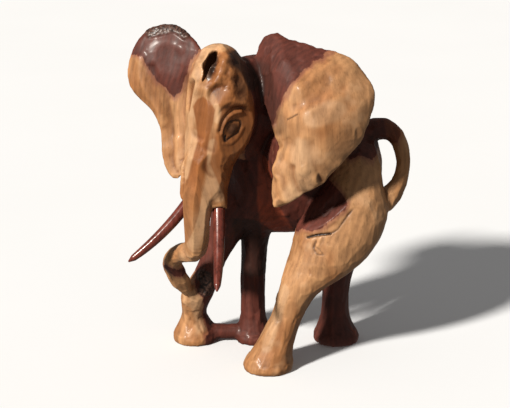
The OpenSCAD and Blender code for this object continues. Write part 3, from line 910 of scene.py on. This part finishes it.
def carved_wood(colours):
    """Pale sapwood over dark heartwood, varnished, with honey-brown flats, stains and bark."""
    f = Finish("carved_wood")
    place = f.add("TexCoord").outputs["Object"]

    warp = f.warped(place, 9.0, 0.05)
    fibre = f.noise(f.stretched(warp, (1, 1, 0.06)), 900, 4, 0.6)
    streak = f.noise(f.stretched(warp, (1, 1, 0.10)), 260, 4, 0.6)
    blotch = f.noise(place, 40, 4, 0.6)
    cloud = f.noise(f.stretched(warp, (1, 1, 0.6)), 16, 3, 0.55)
    rings = f.add(
        "TexWave",
        {"wave_type": "RINGS", "rings_direction": "Z", "wave_profile": "SIN"},
        Vector=f.stretched(warp, (1, 1, 0.35), (-0.01, -0.03, 0.0)),
        Scale=60.0,
        Distortion=2.0,
        Detail=2.0,
        Detail_Scale=0.25,
    )
    ring = rings.outputs["Fac"]

    figure = f.plus(f.times(ring, 0.07), f.times(streak, 0.5))
    figure = f.plus(figure, f.times(blotch, 0.43))
    sap_colour = f.grained(figure, colours.sapwood, (0.34, 0.66), (0.5, 1), (0.64, 1.3))
    ripe = f.grained(figure, colours.ripe_sapwood, (0.34, 0.7), (0.62, 1.2))
    sap_colour = f.blend(f.span(cloud, 0.44, 0.62, 0.0, 0.75), sap_colour, ripe)
    # Painted sheen and waxy bloom: paler patches at random over the pale wood.
    bloom_and_sheen = f.span(f.noise(place, 26, 3, 0.6), 0.54, 0.68, 0.0, 0.5)
    sap_colour = f.blend(bloom_and_sheen, sap_colour, (*colours.bloom_and_sheen, 1.0))
    heart_colour = f.grained(figure, colours.heartwood, (0.3, 0.5), (0.52, 1), (0.76, 1.7))

    ragged = f.raggedness(f.stretched(place, (1, 1, 0.5)), 120, 3, 7.0)
    fine_edge = f.raggedness(f.stretched(place, (1, 1, 0.2)), 700, 2, 2.4)
    depth = f.plus(f.plus(f.painted("heart"), ragged), fine_edge)
    in_heart = f.span(depth, -0.6, 0.7)
    fringe = f.times(f.span(depth, -4.5, -0.5), 0.55)
    colour = f.blend(fringe, sap_colour, (*colours.fringe, 1.0))
    colour = f.blend(in_heart, colour, heart_colour)

    shaded_honey = f.grained(figure, colours.honey, (0.3, 0.5), (0.5, 0.9), (0.7, 1.3))
    honey_colour = f.grained(figure, colours.honey, (0.28, 0.62), (0.5, 1), (0.74, 1.35))
    # Painted light: the red mask lightens shaded heartwood to its sunlit red.
    sunlit_red_colour = f.grained(figure, colours.red, (0.3, 0.5), (0.7, 1.3))
    colour = f.blend(f.times(f.painted("red"), in_heart), colour, sunlit_red_colour)
    # Painted light: the pale mask lightens the lit strips and the sheen towards the bloom colour.
    pale = f.times(f.painted("pale"), f.span(blotch, 0.3, 0.6, 0.6, 1.0))
    pale = f.times(pale, f.span(depth, -1.5, 0.0, 1.0, 0.0))
    colour = f.blend(pale, colour, f.grained(figure, colours.bloom_and_sheen, (0.34, 0.7), (0.6, 1)))
    colour = f.blend(f.times(f.painted("honey"), 0.92), colour, honey_colour)
    # Painted shade: the ripe mask blends in a shaded copy of the honey colour.
    colour = f.blend(f.times(f.painted("ripe"), 0.8), colour, shaded_honey)
    # The stain mask holds real stains and cracks, and also painted shade: the shadow above the right knee,
    # the crown slot and the ear's root.
    stain = f.times(f.painted("stain"), f.span(blotch, 0.2, 0.6, 0.8, 1.0))
    colour = f.blend(stain, colour, (*colours.stain, 1.0))
    crust = f.painted("crust")
    bark = f.gradient(f.noise(place, 420, 3), [(0.38, (0.012, 0.007, 0.006)), (0.66, (0.12, 0.065, 0.05))])
    colour = f.blend(crust, colour, bark)
    pores = f.span(fibre, 0.30, 0.42, 0.72, 1.0)
    colour = f.blend(1.0, colour, pores, "MULTIPLY")
    # Dirt and painted shade: the hollows are darkened.
    hollow_dirt_and_shade = f.gradient(f.painted("hollow"), [(0.0, (1, 1, 1)), (1.0, (0.5, 0.4, 0.32))])
    colour = f.blend(1.0, colour, hollow_dirt_and_shade, "MULTIPLY")
    worn = f.gradient(f.painted("ridge"), [(0.0, (0.5, 0.5, 0.5)), (1.0, (0.72, 0.7, 0.66))])
    colour = f.blend(0.6, colour, worn, "SOFT_LIGHT")

    rough = f.plus(f.span(blotch, 0.3, 0.7, 0.36, 0.54), f.times(fibre, 0.14))
    rough = f.maths("SUBTRACT", rough, f.times(crust, 0.2))
    rough = f.plus(rough, f.times(in_heart, 0.1))
    bump = f.bumped(fibre, 0.35, 0.00025)
    bump = f.bumped(f.noise(place, 160, 3), 0.35, 0.0007, bump)
    return f.finish(colour, rough, bump, gloss=0.3, coat=0.1, coat_roughness=0.2)


def tusk_wood(colours):
    """Dark red heartwood, polished, with streaks down the tusk."""
    f = Finish("tusk_wood")
    place = f.add("TexCoord").outputs["Object"]
    streak = f.noise(f.stretched(place, (1, 1, 0.12)), 500, 4, 0.6)
    blotch = f.noise(place, 90, 3)
    figure = f.plus(f.times(streak, 0.6), f.times(blotch, 0.4))
    colour = f.grained(figure, colours.tusk, (0.34, 0.45), (0.5, 1), (0.68, 1.6))
    rough = f.span(blotch, 0.3, 0.7, 0.18, 0.32)
    bump = f.bumped(streak, 0.25, 0.0002)
    return f.finish(colour, rough, bump, gloss=0.4, coat=0.25, coat_roughness=0.12)


def floor_finish(colour):
    """Plain matt paper."""
    f = Finish("pale_floor")
    place = f.add("TexCoord").outputs["Object"]
    tone = f.grained(f.noise(place, 3, 2), colour, (0.3, 0.985), (0.7, 1))
    bump = f.bumped(f.noise(place, 600, 2), 0.05, 0.0002)
    return f.finish(tone, 0.9, bump, gloss=0.2, coat=0.0, coat_roughness=0.5)


# ---- Sizes and colours that can be set ------------------------------------


def cube_setting(name, description, default, low, high):
    """The edge of the cubes that a mesh is rebuilt from, in metres."""
    return FloatProperty(
        name=name, description=description, default=default, min=low, max=high, unit="LENGTH"
    )


class ElephantCarving(bpy.types.PropertyGroup):
    """How finely the block and the tusks are carved."""

    first_cube: cube_setting("First cut", "Cubes for the block's first shape", 0.0017, 0.0012, 0.003)
    last_cube: cube_setting("Last cut", "Cubes for the block's last shape", 0.001, 0.0008, 0.003)
    tusk_cube: cube_setting("Tusk cut", "Cubes for a tusk", 0.00045, 0.0003, 0.001)
    facet: FloatProperty(
        name="Knife facet", description="Usual width of a knife facet, in millimetres",
        default=11.0, min=4.0, max=20.0,
    )
    facet_depth: FloatProperty(
        name="Facet depth", description="Most that a facet moves the surface, in millimetres",
        default=0.3, min=0.0, max=1.5,
    )
    seed: IntProperty(name="Seed", description="Which spread of knife facets is cut", default=7, min=0)


def colour_setting(name, description, default):
    """A colour that can be set."""
    return FloatVectorProperty(
        name=name, description=description, default=default, subtype="COLOR", min=0, max=1
    )


class ElephantColours(bpy.types.PropertyGroup):
    """The colours of the woods and the floor."""

    sapwood: colour_setting("Sapwood", "Pale outer wood", (0.4, 0.207, 0.095))
    ripe_sapwood: colour_setting("Ripe sapwood", "Warmer clouds in the pale wood", (0.3, 0.118, 0.04))
    # Painted sheen and painted light: the colour of the pale patches and of the paler lit strips.
    bloom_and_sheen: colour_setting("Bloom", "Pale, waxy patches in the pale wood", (0.56, 0.34, 0.19))
    heartwood: colour_setting("Heartwood", "Dark inner wood", (0.092, 0.023, 0.015))
    fringe: colour_setting("Fringe", "Purple edge between the woods", (0.19, 0.055, 0.045))
    honey: colour_setting(
        "Honey layer", "Orange-brown wood on the forehead and the trunk", (0.235, 0.078, 0.02)
    )
    # Painted light: the red heartwood colour lights up heartwood that lies in shade here.
    red: colour_setting("Red heartwood", "Freshly cut, redder heartwood", (0.34, 0.07, 0.03))
    # The stain colour also paints shade: the shadow above the right knee, the crown slot and the ear's
    # root.
    stain: colour_setting("Stain", "Varnish and dirt in cuts and cracks", (0.02, 0.009, 0.006))
    tusk: colour_setting("Tusk", "Polished red-brown tusk wood", (0.13, 0.028, 0.018))
    floor: colour_setting("Floor", "Pale floor", (0.9, 0.94, 0.99))


class ElephantStage(bpy.types.PropertyGroup):
    """The camera and the lights."""

    distance: FloatProperty(
        name="Camera distance", description="From the camera to the middle of the carving",
        default=1.2, unit="LENGTH",
    )
    elevation: FloatProperty(
        name="Camera elevation", description="Height of the view above the horizon",
        default=math.radians(17), subtype="ANGLE",
    )
    field: FloatProperty(
        name="Field of view", description="Width of the view",
        default=math.radians(21.6547), subtype="ANGLE",
    )
    key_power: FloatProperty(name="Key light", description="Strength of the key light", default=5.3, min=0)
    sky_power: FloatProperty(name="Sky light", description="Strength of the even light", default=0.2, min=0)


# ---- Operators ------------------------------------------------------------

# The middle of the view, in layout millimetres, and the way to the key light.
VIEW_MIDDLE = (-13.0, 23.5, 141.6)
KEY_WAY = (-0.58, -0.6, 0.55)
KEY_COLOUR, SKY_COLOUR = (1.0, 0.93, 0.84), (1.0, 0.95, 0.9, 1.0)
KEY_SPREAD = math.radians(6)
# Half the floor's width and how far it lies under the soles, in metres.
FLOOR_HALF, FLOOR_DROP = 8.0, 0.0002


def add_piece(name, form, material):
    """An object made of a form, in one material."""
    piece = bpy.data.objects.new(name, mesh_of(form, name))
    bpy.context.scene.collection.objects.link(piece)
    piece.data.materials.append(material)
    return piece


class ELEPHANT_OT_block(bpy.types.Operator):
    """Carves the block over and paints its two woods"""

    bl_idname = "elephant.block"
    bl_label = "Carve the block"

    def execute(self, context):
        sizes, colours = context.scene.elephant_carving, context.scene.elephant_colours
        source = frame["nodes"]["carved_block"].data
        form = form_of(remeshed(source, sizes.first_cube, "block"))
        form.soften(16)
        for step in (carve_head, carve_left_ear, carve_right_ear, carve_body, carve_feet):
            step(form)
        form.soften(2)
        rough = mesh_of(form, "rough_block")
        form = form_of(remeshed(rough, sizes.last_cube, "block"))
        form.chip(sizes.facet, sizes.facet_depth, carved_share(form), sizes.seed)
        plane_head(form)
        plane_left_ear(form)
        chisel_crown(form)
        form.soften(1, keep_bulk=False)
        form.mark_hollows()
        for step in (smudges_and_shade, carve_eye, carve_cracks, grow_crust, stain_woods):
            step(form)
        stand_flat(form)
        open_sockets(form)
        block = add_piece("elephant_carving", form, carved_wood(colours))
        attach(block, "carving")
        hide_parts("carved_block")
        return {"FINISHED"}


class ELEPHANT_OT_tusks(bpy.types.Operator):
    """Polishes the two loose tusks"""

    bl_idname = "elephant.tusks"
    bl_label = "Polish the tusks"

    def execute(self, context):
        sizes, colours = context.scene.elephant_carving, context.scene.elephant_colours
        wood = tusk_wood(colours)
        for name, seat in TUSK_SEATS.items():
            form = form_of(remeshed(frame["nodes"][name].data, sizes.tusk_cube, name))
            along = (form.points - np.array(seat)) @ pull_axis(name)
            form.soften(12, where=ease((along - 1.0) / 3.0))
            piece = add_piece(name + "_polished", form, wood)
            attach(piece, name)
            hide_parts(name)
        return {"FINISHED"}


class ELEPHANT_OT_stage(bpy.types.Operator):
    """Lays the floor and sets the lights and the camera"""

    bl_idname = "elephant.stage"
    bl_label = "Set the stage"

    def execute(self, context):
        scene, stage = context.scene, context.scene.elephant_stage
        middle = Vector(at(VIEW_MIDDLE))
        mesh = bpy.data.meshes.new("floor")
        corners = [(FLOOR_HALF * x, FLOOR_HALF * y, 0) for x, y in ((-1, -1), (1, -1), (1, 1), (-1, 1))]
        mesh.from_pydata(corners, [], [(0, 1, 2, 3)])
        floor = bpy.data.objects.new("floor", mesh)
        floor.location.z = -FLOOR_DROP
        # The floor takes shadows and throws no light back, so the undersides stay dark.
        floor.visible_diffuse = False
        floor.visible_glossy = False
        scene.collection.objects.link(floor)
        mesh.materials.append(floor_finish(tuple(scene.elephant_colours.floor)))

        key = bpy.data.lights.new("key", "SUN")
        key.energy = stage.key_power
        key.angle = KEY_SPREAD
        key.color = KEY_COLOUR
        lamp = bpy.data.objects.new("key", key)
        lamp.rotation_euler = Vector(KEY_WAY).to_track_quat("Z", "Y").to_euler()
        scene.collection.objects.link(lamp)

        world = bpy.data.worlds.new("even_light")
        world.use_nodes = True
        sky = world.node_tree.nodes["Background"]
        sky.inputs["Color"].default_value = SKY_COLOUR
        sky.inputs["Strength"].default_value = stage.sky_power
        scene.world = world
        scene.view_settings.view_transform = "Standard"

        camera = bpy.data.cameras.new("camera")
        camera.sensor_width = 36.0
        camera.angle = stage.field
        camera.clip_start, camera.clip_end = 0.05, 30.0
        eye = bpy.data.objects.new("camera", camera)
        back = Vector((0, -math.cos(stage.elevation), math.sin(stage.elevation)))
        eye.location = middle + back * stage.distance
        eye.rotation_euler = back.to_track_quat("Z", "Y").to_euler()
        scene.collection.objects.link(eye)
        scene.camera = eye
        return {"FINISHED"}


class ELEPHANT_PT_panel(bpy.types.Panel):
    """Lists the steps that make the elephant"""

    bl_idname = "ELEPHANT_PT_panel"
    bl_label = "Carved elephant"
    bl_space_type = "VIEW_3D"
    bl_region_type = "UI"
    bl_category = "Elephant"

    def draw(self, context):
        layout, scene = self.layout, context.scene
        for group in (scene.elephant_carving, scene.elephant_colours, scene.elephant_stage):
            box = layout.box()
            for name in group.__annotations__:
                box.prop(group, name)
        for operator in (ELEPHANT_OT_block, ELEPHANT_OT_tusks, ELEPHANT_OT_stage):
            layout.operator(operator.bl_idname)


CLASSES = (
    ElephantCarving,
    ElephantColours,
    ElephantStage,
    ELEPHANT_OT_block,
    ELEPHANT_OT_tusks,
    ELEPHANT_OT_stage,
    ELEPHANT_PT_panel,
)


def register():
    for cls in CLASSES:
        bpy.utils.register_class(cls)
    bpy.types.Scene.elephant_carving = PointerProperty(type=ElephantCarving)
    bpy.types.Scene.elephant_colours = PointerProperty(type=ElephantColours)
    bpy.types.Scene.elephant_stage = PointerProperty(type=ElephantStage)


def unregister():
    del bpy.types.Scene.elephant_stage
    del bpy.types.Scene.elephant_colours
    del bpy.types.Scene.elephant_carving
    for cls in reversed(CLASSES):
        bpy.utils.unregister_class(cls)


def main():
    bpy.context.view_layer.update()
    register()
    bpy.ops.elephant.stage()
    bpy.ops.elephant.block()
    bpy.ops.elephant.tusks()


if __name__ == "__main__":
    main()
